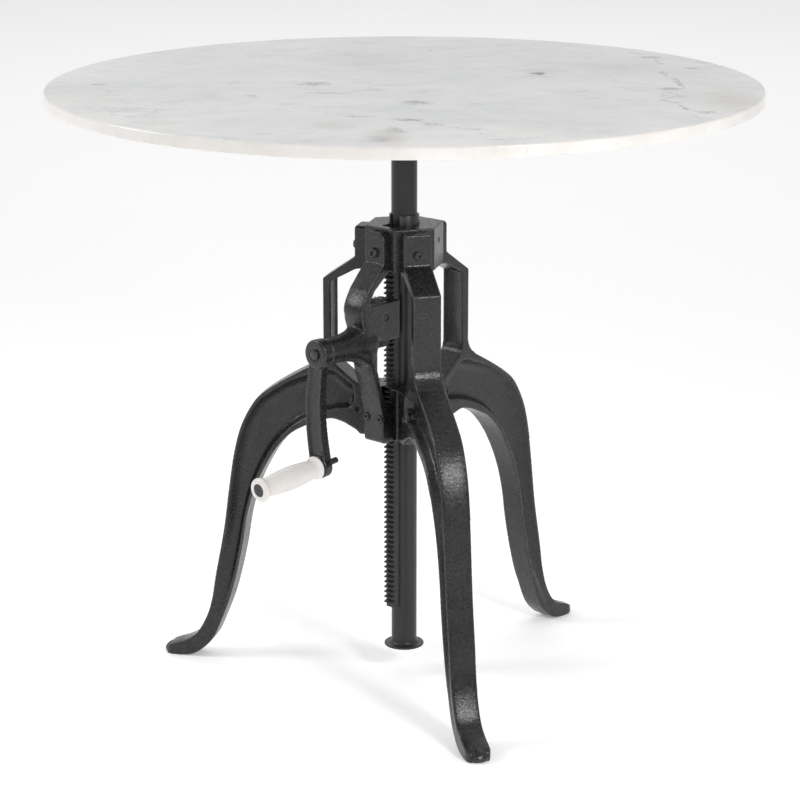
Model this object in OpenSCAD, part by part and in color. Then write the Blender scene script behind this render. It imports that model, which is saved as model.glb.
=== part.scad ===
// Crank-adjustable bistro table: a round marble top on a steel post that a
// rack, a pinion and a worm on a hand crank lift through a three-legged
// cast-iron stand.
// Millimetres, +Z up, origin on the post's axis at the floor.
// The crank points along -Y and the legs stand at 90, 210 and 330 degrees.

/* [Top] */
// Diameter of the marble top
top_d = 914; // [600:1:1000]
// Thickness of the marble top
top_t = 15; // [14:0.5:30]
// Radius of the eased edge of the top
top_edge_r = 3; // [1:0.5:5]
// Height of the top above the floor in the modelled position
top_height = 795; // [780:1:1000]

/* [Top fixing] */
// Diameter of the steel plate under the top
plate_d = 280; // [200:5:320]
// Thickness of the plate
plate_t = 6; // [4:0.5:10]
// Number of screws into the top
top_screw_count = 6; // [3:1:8]
// Radius of the screw circle
top_screw_r = 115; // [60:1:120]
// Depth of the socket that holds the post under the plate
socket_h = 32; // [20:1:50]
// Outer diameter of the socket
socket_d = 56; // [50:1:70]

/* [Post] */
// Outer diameter of the post tube
tube_d = 33.7; // [28:0.1:40]
// Wall of the post tube
tube_wall = 3.2; // [2:0.1:5]
// Height of the post's lower end above the floor
post_bottom = 38.5; // [34:0.5:60]
// Diameter of the stop flange on the post's lower end
flange_d = 52.6; // [44:0.2:64]
// Thickness of the stop flange
flange_t = 3; // [2:0.5:6]

/* [Rack and gears] */
// Module of the rack, the pinion and the worm
gear_m = 2.2; // [2:0.1:2.4]
// Teeth on the pinion
pinion_teeth = 20; // [18:2:26]
// Height of the rack's lower end above the floor
rack_bottom = 97; // [80:1:140]
// Height of the rack's upper end above the floor
rack_top = 600; // [560:1:640]
// Width of the rack
rack_w = 15; // [12:0.5:18]
// Radial distance from the post's axis to the rack's pitch line
rack_pitch_r = 29; // [28:0.1:33]
// Pitch radius of the worm
worm_r = 10; // [9.5:0.1:12]
// Length of the worm
worm_l = 28; // [20:1:30]
// Width of the pinion's teeth
pinion_face = 8; // [6:0.5:10]
// Diameter of the pin that carries the pinion
pinion_pin_d = 8; // [6:0.5:12]
// Diameter of the crank shaft in its bushes
shaft_d = 12; // [10:0.5:14]
// Diameter of the shaft inside the worm
worm_bore = 9; // [7:0.5:10]

/* [Head] */
// Height of the head's upper face above the floor
head_top = 616; // [600:1:640]
// Height of the head casting
head_h = 56; // [50:1:70]
// Distance across the flats of the head
head_af = 92; // [86:1:104]
// Wall of the head casting
head_wall = 9; // [6:0.5:11]
// Height that the upper bush stands above the head
bush_proud = 12; // [4:1:20]

/* [Lower hub] */
// Height of the lower hub's underside above the floor
hub_bottom = 332; // [320:1:345]
// Height of the lower hub
hub_h = 70; // [62:1:80]
// Distance across the flats of the lower hub
hub_af = 70; // [66:1:80]

/* [Legs] */
// Width of a leg casting
leg_w = 37; // [30:1:40]
// Width of a leg at the floor
toe_w = 33; // [28:1:37]
// Radius of the outer face of a leg's upright
strut_r = 105; // [98:1:120]
// Thickness of a leg's upright
strut_t = 11; // [8:0.5:14]
// Radius of a leg's outer face on the head
pad_r = 62; // [58:1:68]
// Height of the bend at the top of the upright
strut_bend_z = 541; // [520:1:550]
// Height of the shoulder where the leg leaves the upright
shoulder_z = 422; // [410:1:430]
// Radius from the axis to the tip of a foot
foot_r = 338; // [280:1:400]
// Thickness of the web between a leg's flanges
web_t = 14; // [10:1:20]

/* [Gear bracket] */
// Height of the crank's axis above the floor
crank_z = 470; // [468:1:474]
// Width of the bowed strap
bow_w = 34; // [30:1:38]
// Thickness of the bowed strap
bow_t = 11; // [8:0.5:13]
// Radius of the outer face of the bow at its widest
bow_r = 95; // [93:1:104]
// Radius of the bracket's outer face at its foot
bracket_foot_r = 58; // [50:1:62]
// Width of the gear housing
housing_w = 34; // [33:1:36]
// Radius from the axis to the outer end of the horn
horn_r = 147; // [135:1:160]
// Diameter of the horn's outer end
horn_d = 33; // [28:1:38]

/* [Crank] */
// Distance from the crank's axis to the handle's axis
crank_throw = 148; // [110:1:160]
// Diameter of the crank arm's hub
crank_hub_d = 38; // [30:1:44]
// Thickness of the crank arm's hub
crank_hub_t = 16; // [14:1:20]
// Thickness of the crank arm
crank_t = 12; // [9:1:14]
// Width of the crank arm below its hub
crank_neck_w = 20; // [16:1:26]
// Diameter of the eye that holds the handle
crank_eye_d = 31; // [26:1:36]
// Angle by which the handle droops towards its free end
handle_tilt = 4.5; // [0:0.5:8]

/* [Handle] */
// Length of the grip
grip_l = 104; // [80:1:120]
// Largest diameter of the grip
grip_d = 31; // [24:1:36]
// Diameter of the spindle inside the grip
spindle_d = 10; // [8:0.5:12]
// Diameter of the spindle's thread
spindle_thread_d = 8; // [6:0.5:8]

/* [Fits] */
// Radial running clearance of a shaft or the post in its bush
run_gap = 0.08; // [0.04:0.01:0.1]
// Radial clearance of a piece that is pressed, glued or screwed in
seat_gap = 0.05; // [0.02:0.01:0.1]
// Clearance on each side of the rack in its slots
rack_gap = 0.7; // [0.5:0.1:1.5]
// Backlash between meshing teeth
backlash = 0.45; // [0.3:0.05:0.6]

/* [Hidden] */

iron = "#26272a";
steel = "#4a4c50";
bright = "#9b9da1";
marble = "#e6e6e4";
eps = 0.01;
$fn = 64;
facing_fn = 6;

leg_angles = [90, 210, 330];
plain_angles = [30, 150];

// Post and top
tube_r = tube_d / 2;
top_under = top_height - top_t;
plate_under = top_under - plate_t;
screw_d = 6;
screw_head_d = 12;
screw_head_h = 3.5;
insert_d = 10;
insert_h = 10;
socket_screw_d = 8;
socket_screw_z = plate_under - socket_h / 2;
weld_w = 5;

// Rack, pinion and worm
tooth_pitch = PI * gear_m;
tooth_up = 0.9 * gear_m;
tooth_down = 1.2 * gear_m;
pressure = 20;
pinion_r = gear_m * pinion_teeth / 2;
pinion_y = -(rack_pitch_r + pinion_r);
pinion_z = crank_z + worm_r + pinion_r;
pinion_hub_d = 20;
pinion_side_gap = 0.3;
rack_tip_r = rack_pitch_r + tooth_up;
slot_w = rack_w + 2 * rack_gap;
slot_r = rack_tip_r + 2;
worm_ecc = 1.15 * gear_m;
worm_core_r = worm_r - 0.3 * gear_m;
worm_tip_r = worm_core_r + worm_ecc;
worm_slices = 14;
worm_in_y = pinion_y + worm_l / 2;
worm_out_y = pinion_y - worm_l / 2;
worm_pin_d = 3;
worm_pin_y = worm_in_y - 3.5;

// Bushes
bush_wall = 2.6;
guide_bore_r = tube_r + run_gap;
guide_bush_r = guide_bore_r + bush_wall;
shaft_bush_r = shaft_d / 2 + 3;
shaft_bush_l = 18;
thrust_t = 1.9;
thrust_gap = 0.15;

// Head and hub
head_r = head_af / 2;
head_bottom = head_top - head_h;
head_plate_t = 10;
head_boss_r = guide_bush_r + 6;
head_boss_h = 24;
grub_d = 6;
grub_z = head_top - head_boss_h + 4;
pad_top = head_top - 4;
pad_bottom = head_bottom - 3;
head_bolt_d = 8;
head_bolt_z = head_bottom + 25;
head_bolt_in_r = head_r - head_wall - 3;
hub_r = hub_af / 2;
hub_top = hub_bottom + hub_h;
hub_bolt_d = 6;
hub_bolt_head_d = 10;
hub_bolt_x = web_t / 2 + hub_bolt_head_d / 2 + 0.5;
hub_bolt_z = hub_bottom + 48;
hub_bolt_in_r = guide_bush_r + 4.5;
cross_pin_d = 5;
cross_pin_z = hub_bottom + 35;
cross_pin_r = hub_r + 23;
recess_r = hub_r + 31;
foot_bolt_x = 12;
foot_bolt_z = hub_bottom + 34;

// Gear housing and shaft
housing_top = pinion_z + pinion_r - 3;
housing_bottom = crank_z;
housing_in_r = rack_pitch_r - 3;
pinion_room_r = pinion_r + tooth_up + 1.5;
worm_room_r = worm_tip_r + 1.3;
worm_wall_y = worm_out_y - thrust_t - 2 * thrust_gap;
crank_in_r = horn_r + 1;
crank_out_r = crank_in_r + crank_hub_t;
shaft_end_r = crank_out_r + 2;
shaft_in_y = worm_in_y + 1.5;
lock_pin_d = 5;

// Handle, measured from the plane of the crank arm
eye_z = crank_z - crank_throw;
arm_bulge = 9;
arm_recess = 3;
grip_start = crank_t + 2;
spindle_head_d = 17;
spindle_head_t = 5;
nut_h = 6.5;
washer_t = 1.6;
thread_tail = 22;

// Points along a circular arc
function arc(cx, cy, r, a0, a1, n) =
    [for (i = [0 : n]) let (a = a0 + (a1 - a0) * i / n) [cx + r * cos(a), cy + r * sin(a)]];

// One span of a smooth curve through p1 and p2, then all spans of a point list
function span(p0, p1, p2, p3, t) =
    0.5 * ((2 * p1) + (p2 - p0) * t + (2 * p0 - 5 * p1 + 4 * p2 - p3) * t * t
    + (3 * p1 - p0 - 3 * p2 + p3) * t * t * t);
function smooth(p, n) = let (last = len(p) - 1)
    [for (i = [0 : last - 1], k = [0 : n - 1])
        span(p[max(i - 1, 0)], p[i], p[i + 1], p[min(i + 2, last)], k / n), p[last]];

// A point of the leg given as shares of its reach and of its shoulder height
leg_reach = foot_r - strut_r;
function leg_pt(f, g) = [strut_r + f * leg_reach, g * shoulder_z];
function leg_pts(list) = [for (p = list) leg_pt(p[0], p[1])];

// Involute flank: angle of a tooth's side at radius r, in degrees
base_r = pinion_r * cos(pressure);
function inv(a) = tan(a) * 180 / PI - a;
function flank(r) = (tooth_pitch / 2 - backlash) / 2 / pinion_r * 180 / PI
    + inv(pressure) - inv(acos(min(1, base_r / r)));

module on_leg(a) { rotate([0, 0, a]) children(); }
module side_plate(w) { rotate([90, 0, 0]) linear_extrude(w, center = true) children(); }
module radial(r0, r1, d, x, z) {
    translate([r0, x, z]) rotate([0, 90, 0]) cylinder(d = d, h = r1 - r0);
}
module along_y(y0, y1, d, z) {
    translate([0, y1, z]) rotate([-90, 0, 0]) cylinder(d = d, h = y0 - y1);
}
module hex_prism(r, z0, z1) {
    translate([0, 0, z0]) cylinder(r = r / cos(30), h = z1 - z0, $fn = facing_fn);
}
module rack_slot(r, z0, z1) {
    translate([-slot_w / 2, -r, z0]) cube([slot_w, r, z1 - z0]);
}
module button_bolt(d, head_d, head_h, l) {
    cylinder(d = d, h = l);
    translate([0, 0, -head_h]) difference() {
        rotate_extrude() polygon(concat([[0, 0]],
            arc(head_d / 2 - head_h, head_h, head_h, -90, 0, 6), [[0, head_h]]));
        translate([0, 0, -eps]) cylinder(d = head_d * 0.45, h = head_h * 0.5, $fn = facing_fn);
    }
}
module radial_bolt(r0, r1, d, head_d, head_h, x, z) {
    translate([r1, x, z]) rotate([0, -90, 0]) button_bolt(d, head_d, head_h, r1 - r0);
}

// ---- Top ----
module marble_top() {
    color(marble) difference() {
        rotate_extrude($fn = 256) polygon(concat([[0, top_under]],
            arc(top_d / 2 - top_edge_r, top_under + top_edge_r, top_edge_r, -90, 0, 6),
            arc(top_d / 2 - top_edge_r, top_height - top_edge_r, top_edge_r, 0, 90, 6),
            [[0, top_height]]));
        at_top_screws() translate([0, 0, top_under - eps])
            cylinder(d = insert_d + 2 * seat_gap, h = insert_h + 1);
    }
}
module at_top_screws() {
    for (i = [0 : top_screw_count - 1])
        rotate([0, 0, (i + 0.5) * 360 / top_screw_count]) translate([top_screw_r, 0, 0]) children();
}
module top_plate() {
    color(iron) difference() {
        translate([0, 0, plate_under]) cylinder(d = plate_d, h = plate_t, $fn = 128);
        at_top_screws() translate([0, 0, plate_under - 1]) cylinder(d = screw_d + 0.6, h = plate_t + 2);
    }
}
module post_socket() {
    color(iron) difference() {
        rotate_extrude() polygon([[tube_r + seat_gap, plate_under - socket_h],
            [socket_d / 2 - 2, plate_under - socket_h], [socket_d / 2, plate_under - socket_h + 2],
            [socket_d / 2, plate_under - weld_w], [socket_d / 2 + weld_w, plate_under],
            [tube_r + seat_gap, plate_under]]);
        for (a = plain_angles) on_leg(a)
            radial(0, socket_d, socket_screw_d + 2 * seat_gap, 0, socket_screw_z);
    }
}
module socket_screws() {
    color(steel) for (a = plain_angles) on_leg(a) difference() {
        radial(tube_r + seat_gap, socket_d / 2, socket_screw_d, 0, socket_screw_z);
        translate([socket_d / 2 - 4, 0, socket_screw_z]) rotate([0, 90, 0])
            cylinder(d = socket_screw_d / 2, h = 5, $fn = facing_fn);
    }
}
module top_inserts() {
    color("#b08d45") at_top_screws() translate([0, 0, top_under]) difference() {
        cylinder(d = insert_d, h = insert_h);
        translate([0, 0, -1]) cylinder(d = screw_d + 2 * seat_gap, h = insert_h + 2);
    }
}
module top_screws() {
    color(bright) at_top_screws() translate([0, 0, plate_under])
        button_bolt(screw_d, screw_head_d, screw_head_h, plate_t + insert_h - 1);
}

// ---- Post ----
module post_tube() {
    color(steel) difference() {
        translate([0, 0, post_bottom]) cylinder(r = tube_r, h = plate_under - post_bottom);
        translate([0, 0, post_bottom - 1])
            cylinder(r = tube_r - tube_wall, h = plate_under - post_bottom + 2);
    }
}
module rack() {
    first = ceil((rack_bottom - pinion_z) / tooth_pitch - 0.5) + 1;
    final = floor((rack_top - pinion_z) / tooth_pitch - 0.5) - 1;
    tip = (tooth_pitch / 2 - backlash) / 2 - tooth_up * tan(pressure);
    root = (tooth_pitch / 2 - backlash) / 2 + tooth_down * tan(pressure);
    root_r = rack_pitch_r - tooth_down;
    teeth = [for (i = [first : final]) let (z = pinion_z + (i + 0.5) * tooth_pitch)
        each [[-root_r, z - root], [-rack_tip_r, z - tip], [-rack_tip_r, z + tip], [-root_r, z + root]]];
    color(steel) difference() {
        rotate([90, 0, 90]) linear_extrude(rack_w, center = true) polygon(concat(
            [[-tube_r / 2, rack_bottom], [-root_r, rack_bottom]], teeth,
            [[-root_r, rack_top], [-tube_r / 2, rack_top]]));
        translate([0, 0, rack_bottom - 1]) cylinder(r = tube_r + seat_gap, h = rack_top - rack_bottom + 2);
    }
}
module stop_flange() {
    color(steel) rotate_extrude() polygon([[tube_r + seat_gap, post_bottom],
        [flange_d / 2 - 0.5, post_bottom], [flange_d / 2, post_bottom + 0.5],
        [flange_d / 2, post_bottom + flange_t - 0.5], [flange_d / 2 - 0.5, post_bottom + flange_t],
        [tube_r + weld_w, post_bottom + flange_t], [tube_r + seat_gap, post_bottom + flange_t + weld_w]]);
}

// ---- Head and lower hub ----
module head_casting() {
    color(iron) difference() {
        union() {
            difference() {
                hex_prism(head_r, head_bottom, head_top);
                hex_prism(head_r - head_wall, head_bottom - 1, head_top - head_plate_t);
            }
            translate([0, 0, head_top - head_boss_h]) cylinder(r = head_boss_r, h = head_boss_h - 1);
        }
        translate([0, 0, head_bottom]) cylinder(r = guide_bush_r + seat_gap, h = head_h + 1);
        rack_slot(slot_r, head_bottom, head_top + 1);
        for (a = leg_angles) on_leg(a) radial(head_r - 2 * head_wall, head_r + 1,
            head_bolt_d + 2 * seat_gap, 0, head_bolt_z);
        on_leg(270) radial(head_r - 2 * head_wall, head_r + 1,
            head_bolt_d + 2 * seat_gap, 0, head_bolt_z);
        for (a = plain_angles) on_leg(a) radial(guide_bush_r - 1, head_r + 1,
            grub_d + 2 * seat_gap, 0, grub_z);
    }
}
module guide_bush(z0, z1) {
    difference() {
        translate([0, 0, z0]) cylinder(r = guide_bush_r, h = z1 - z0);
        translate([0, 0, z0 - 1]) cylinder(r = guide_bore_r, h = z1 - z0 + 2);
        rack_slot(slot_r, z0 - 1, z1 + 1);
    }
}
module upper_guide_bush() { color(steel) guide_bush(head_top - head_boss_h, head_top + bush_proud); }
module lower_guide_bush() { color(steel) guide_bush(hub_bottom, hub_top); }
module guide_grub_screws() {
    color(bright) for (a = plain_angles) on_leg(a) difference() {
        radial(guide_bush_r + seat_gap, head_r - 1.5, grub_d, 0, grub_z);
        radial(head_r - 5, head_r, grub_d / 2, 0, grub_z, $fn = facing_fn);
    }
}
module lower_hub() {
    color(iron) difference() {
        hex_prism(hub_r, hub_bottom, hub_top);
        translate([0, 0, hub_bottom - 1]) cylinder(r = guide_bush_r + seat_gap, h = hub_h + 2);
        rack_slot(hub_r + 1, hub_bottom - 1, hub_top + 1);
        for (a = leg_angles, s = [-1, 1]) on_leg(a) radial(hub_bolt_in_r - 2, hub_r + 1,
            hub_bolt_d + 2 * seat_gap, s * hub_bolt_x, hub_bolt_z);
        for (s = [-1, 1]) on_leg(270) radial(hub_bolt_in_r - 2, hub_r + 1,
            hub_bolt_d + 2 * seat_gap, s * foot_bolt_x, foot_bolt_z);
    }
}

// ---- Legs ----
// Outer edge of a leg from its shoulder to the tip of the foot, as shares
leg_outer = [[0.06, 1.003], [0.193, 0.962], [0.313, 0.921], [0.406, 0.878], [0.491, 0.796],
    [0.541, 0.697], [0.575, 0.578], [0.609, 0.441], [0.661, 0.294], [0.691, 0.199],
    [0.73, 0.135], [0.785, 0.082], [0.85, 0.056], [0.923, 0.041], [0.979, 0.028], [1, 0.011]];
// Inner edge of a leg from its heel up to the arch below the hub, as shares
leg_inner = [[0.88, 0], [0.803, 0.009], [0.734, 0.036], [0.678, 0.073], [0.627, 0.137],
    [0.579, 0.206], [0.536, 0.289], [0.498, 0.386], [0.468, 0.486], [0.425, 0.571],
    [0.367, 0.645], [0.288, 0.72], [0.202, 0.773], [0.12, 0.801], [0.021, 0.825],
    [-0.056, 0.833], [-0.124, 0.822]];
// Far part of the hollow between the flanges, out along its top and back below
recess_out = [[0.1, 0.965], [0.2, 0.935], [0.3, 0.893], [0.39, 0.84], [0.45, 0.775],
    [0.495, 0.69], [0.528, 0.6], [0.553, 0.51], [0.572, 0.44]];
recess_back = [[0.555, 0.415], [0.535, 0.44], [0.515, 0.51], [0.48, 0.59], [0.42, 0.665],
    [0.34, 0.73], [0.25, 0.785], [0.15, 0.828], [0.04, 0.85], [-0.07, 0.862]];
module leg_outline() {
    inner_r = strut_r - strut_t;
    slant = (strut_bend_z - pad_bottom - 14) / (strut_r - pad_r);
    fillet_r = 25;
    polygon(concat(
        [[head_r, pad_top], [pad_r, pad_top], [pad_r, pad_bottom + 14], [strut_r, strut_bend_z]],
        arc(strut_r + fillet_r, shoulder_z + fillet_r, fillet_r, 180, 244, 8),
        smooth(leg_pts(leg_outer), 5),
        [leg_pt(0.987, 0)],
        smooth(leg_pts(leg_inner), 5),
        [[hub_r + 24, hub_bottom + 5], [hub_r + 20, hub_bottom + 1], [hub_r, hub_bottom + 1],
        [hub_r, hub_top]],
        smooth([[hub_r + 22, hub_top], [hub_r + 29, hub_top + 4], [inner_r - 8, hub_top + 22],
            [inner_r - 2, hub_top + 29], [inner_r, hub_top + 38]], 4),
        [[inner_r, strut_bend_z + slant * strut_t * 0.5], [pad_r - 1, pad_bottom - 2],
        [head_r, pad_bottom]]));
}
module leg_recess() {
    r = 16;
    top = leg_pt(0, 0.865)[1] + r;
    polygon(concat(
        arc(recess_r + r, hub_top - 2 - r, r, 180, 90, 6),
        smooth(leg_pts(recess_out), 4),
        smooth(leg_pts(recess_back), 4),
        arc(recess_r + r, top, r, 270, 180, 6)));
}
module leg() {
    difference() {
        intersection() {
            side_plate(leg_w) leg_outline();
            rotate([90, 0, 90]) linear_extrude(foot_r + 1) polygon([[-toe_w / 2, 0],
                [toe_w / 2, 0], [leg_w / 2, hub_bottom], [leg_w / 2, pad_top],
                [-leg_w / 2, pad_top], [-leg_w / 2, hub_bottom]]);
        }
        for (s = [-1, 1]) translate([0, s * (leg_w + web_t) / 2, 0]) side_plate(leg_w) leg_recess();
        radial(head_r - 1, pad_r + 1, head_bolt_d + 2 * seat_gap, 0, head_bolt_z);
        for (s = [-1, 1]) {
            radial(hub_r - 1, recess_r + 1, hub_bolt_d + 2 * seat_gap, s * hub_bolt_x, hub_bolt_z);
            radial(recess_r, recess_r + 20, hub_bolt_head_d + 1, s * hub_bolt_x, hub_bolt_z);
        }
        translate([cross_pin_r, 0, cross_pin_z]) rotate([90, 0, 0])
            cylinder(d = cross_pin_d + 2 * seat_gap, h = leg_w + 2, center = true);
    }
}
module leg_rear() { color(iron) on_leg(leg_angles[0]) leg(); }
module leg_left() { color(iron) on_leg(leg_angles[1]) leg(); }
module leg_right() { color(iron) on_leg(leg_angles[2]) leg(); }
module head_bolts() {
    color(steel) for (a = leg_angles) on_leg(a)
        radial_bolt(head_bolt_in_r, pad_r, head_bolt_d, 11, 5.5, 0, head_bolt_z);
}
module hub_bolts() {
    color(steel) for (a = leg_angles, s = [-1, 1]) on_leg(a)
        radial_bolt(hub_bolt_in_r, recess_r, hub_bolt_d, hub_bolt_head_d, 3.5,
            s * hub_bolt_x, hub_bolt_z);
}
module hub_cross_pins() {
    color(steel) for (a = leg_angles) on_leg(a)
        translate([cross_pin_r, 0, cross_pin_z]) rotate([90, 0, 0])
            cylinder(d = cross_pin_d, h = leg_w - 7, center = true);
}

// ---- Gear bracket ----
// The bracket's outlines are drawn in the plane of radius and height
module bow_outline() {
    low_r = bow_r - 15;
    foot_in = hub_r;
    polygon(concat(
        [[head_r, pad_top], [head_r + 10, pad_top], [head_r + 10, head_bottom + 12]],
        smooth([[bow_r - 12, head_bottom - 18], [bow_r - 1, head_bottom - 38],
            [bow_r, head_bottom - 57], [bow_r - 6, crank_z + 17], [low_r + 1, crank_z - 2],
            [low_r - 1, crank_z - 23], [low_r - 3, crank_z - 38], [low_r - 11, crank_z - 58],
            [bracket_foot_r + 5, crank_z - 82], [bracket_foot_r, crank_z - 102]], 4),
        [[bracket_foot_r, hub_bottom + 4], [bracket_foot_r - 3, hub_bottom + 1],
        [foot_in, hub_bottom + 1], [foot_in, hub_top - 22]],
        smooth([[bracket_foot_r + 3 - bow_t, crank_z - 84], [low_r - 10 - bow_t, crank_z - 66],
            [low_r - 3 - bow_t, crank_z - 38], [low_r - 1 - bow_t, crank_z - 14],
            [low_r + 2 - bow_t, crank_z + 10], [bow_r - bow_t - 1, crank_z + 33],
            [bow_r - bow_t - 3, head_bottom - 38], [bow_r - bow_t - 12, head_bottom - 21]], 4),
        [[head_r + 3, head_bottom - 2], [head_r, head_bottom + 2]]));
}
module gear_bracket() {
    flare_y = -(bow_r - 16);
    color(iron) difference() {
        union() {
            on_leg(270) side_plate(bow_w) bow_outline();
            translate([-housing_w / 2, -(bow_r - bow_t - 2), housing_bottom])
                cube([housing_w, bow_r - bow_t - 2 - housing_in_r, housing_top - housing_bottom]);
            translate([0, 0, crank_z]) rotate([90, 0, 0]) rotate_extrude() polygon(concat(
                [[0, -flare_y - 12], [horn_d / 2 + 4, -flare_y - 12]],
                smooth([[horn_d / 2 + 3, -flare_y + 8], [horn_d / 2 + 1, -flare_y + 26],
                    [horn_d / 2, horn_r - 8]], 4),
                [[horn_d / 2, horn_r - 2], [horn_d / 2 - 2, horn_r], [0, horn_r]]));
        }
        // Passage of the rack along the housing, and of the post behind it
        rack_slot(slot_r, 0, top_height);
        // Room for the pinion, open at the top and towards the rack
        translate([0, pinion_y, pinion_z]) rotate([0, 90, 0])
            cylinder(r = pinion_room_r, h = slot_w, center = true);
        translate([-slot_w / 2, pinion_y, pinion_z - pinion_room_r])
            cube([slot_w, -pinion_y, 2 * pinion_room_r]);
        translate([-slot_w / 2, pinion_y - pinion_room_r, pinion_z])
            cube([slot_w, 2 * pinion_room_r, pinion_room_r]);
        // Room for the worm, open towards the rack, then the bore of the horn
        along_y(0, worm_wall_y, 2 * worm_room_r, crank_z);
        along_y(0, -horn_r - 1, 2 * (shaft_bush_r + seat_gap), crank_z);
        translate([0, pinion_y, pinion_z]) rotate([0, 90, 0])
            cylinder(d = pinion_pin_d + 2 * seat_gap, h = housing_w + 10, center = true);
        on_leg(270) radial(head_r - 1, head_r + 11, head_bolt_d + 2 * seat_gap, 0, head_bolt_z);
        for (s = [-1, 1]) on_leg(270) {
            radial(hub_r - 1, bracket_foot_r, hub_bolt_d + 2 * seat_gap, s * foot_bolt_x, foot_bolt_z);
            radial(bracket_foot_r - 1, bracket_foot_r + 20, hub_bolt_head_d + 1,
                s * foot_bolt_x, foot_bolt_z);
        }
    }
}
module bracket_head_bolt() {
    color(steel) on_leg(270)
        radial_bolt(head_bolt_in_r, head_r + 10, head_bolt_d, 13, 4.5, 0, head_bolt_z);
}
module bracket_foot_bolts() {
    color(steel) for (s = [-1, 1]) on_leg(270)
        radial_bolt(hub_bolt_in_r, bracket_foot_r - 1, hub_bolt_d, hub_bolt_head_d, 3.5,
            s * foot_bolt_x, foot_bolt_z);
}
module shaft_bush(y0) {
    difference() {
        along_y(y0, y0 - shaft_bush_l, 2 * shaft_bush_r, crank_z);
        along_y(y0 + 1, y0 - shaft_bush_l - 1, shaft_d + 2 * run_gap, crank_z);
    }
}
module inner_shaft_bush() { color("#b08d45") shaft_bush(worm_wall_y); }
module outer_shaft_bush() { color("#b08d45") shaft_bush(shaft_bush_l - horn_r); }
module thrust_washer() {
    color(bright) difference() {
        along_y(worm_wall_y + thrust_t, worm_wall_y, 2 * worm_tip_r, crank_z);
        along_y(worm_wall_y + thrust_t + 1, worm_wall_y - 1, shaft_d + 2 * run_gap, crank_z);
    }
}
module pinion_pin() {
    color(bright) translate([0, pinion_y, pinion_z]) rotate([0, 90, 0])
        cylinder(d = pinion_pin_d, h = housing_w - 2, center = true);
}

// ---- Gears and shaft ----
module pinion() {
    steps = 4;
    tip_r = pinion_r + tooth_up;
    root_r = pinion_r - tooth_down;
    radii = [for (i = [0 : steps]) base_r + (tip_r - base_r) * i / steps];
    teeth = [for (t = [0 : pinion_teeth - 1]) let (mid = t * 360 / pinion_teeth) each concat(
        [[root_r, mid - flank(base_r)]], [for (r = radii) [r, mid - flank(r)]],
        [for (i = [steps : -1 : 0]) [radii[i], mid + flank(radii[i])]], [[root_r, mid + flank(base_r)]])];
    hub_w = slot_w - 2 * pinion_side_gap;
    color(bright) translate([0, pinion_y, pinion_z]) rotate([90, 0, 90]) difference() {
        union() {
            linear_extrude(pinion_face, center = true)
                polygon([for (p = teeth) [p[0] * cos(p[1]), p[0] * sin(p[1])]]);
            cylinder(d = pinion_hub_d, h = hub_w, center = true);
        }
        cylinder(d = pinion_pin_d + 2 * run_gap, h = hub_w + 2, center = true);
    }
}
module crank_shaft() {
    color(bright) difference() {
        union() {
            along_y(shaft_in_y, worm_out_y - thrust_gap, worm_bore, crank_z);
            along_y(worm_out_y - thrust_gap, -shaft_end_r, shaft_d, crank_z);
        }
        translate([0, worm_pin_y, crank_z]) rotate([0, 90, 0])
            cylinder(d = worm_pin_d + 2 * seat_gap, h = 40, center = true);
        translate([0, -crank_in_r - crank_hub_t / 2, crank_z]) rotate([0, 90, 0])
            cylinder(d = lock_pin_d + 2 * seat_gap, h = 60, center = true);
    }
}
module worm() {
    turns = worm_l / tooth_pitch;
    color(bright) difference() {
        translate([0, pinion_y, crank_z]) rotate([90, 90 - turns * 180 - 90 * pinion_teeth, 0])
            translate([0, 0, -worm_l / 2])
            linear_extrude(worm_l, twist = turns * 360, slices = round(turns * worm_slices), $fn = 20)
                translate([worm_ecc, 0]) circle(r = worm_core_r);
        along_y(worm_in_y + 1, worm_out_y - 1, worm_bore + 2 * seat_gap, crank_z);
        translate([0, worm_pin_y, crank_z]) rotate([0, 90, 0])
            cylinder(d = worm_pin_d + 2 * seat_gap, h = 40, center = true);
    }
}
module worm_pin() {
    color(bright) translate([0, worm_pin_y, crank_z]) rotate([0, 90, 0])
        cylinder(d = worm_pin_d, h = 2 * (worm_core_r - worm_ecc), center = true);
}

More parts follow.
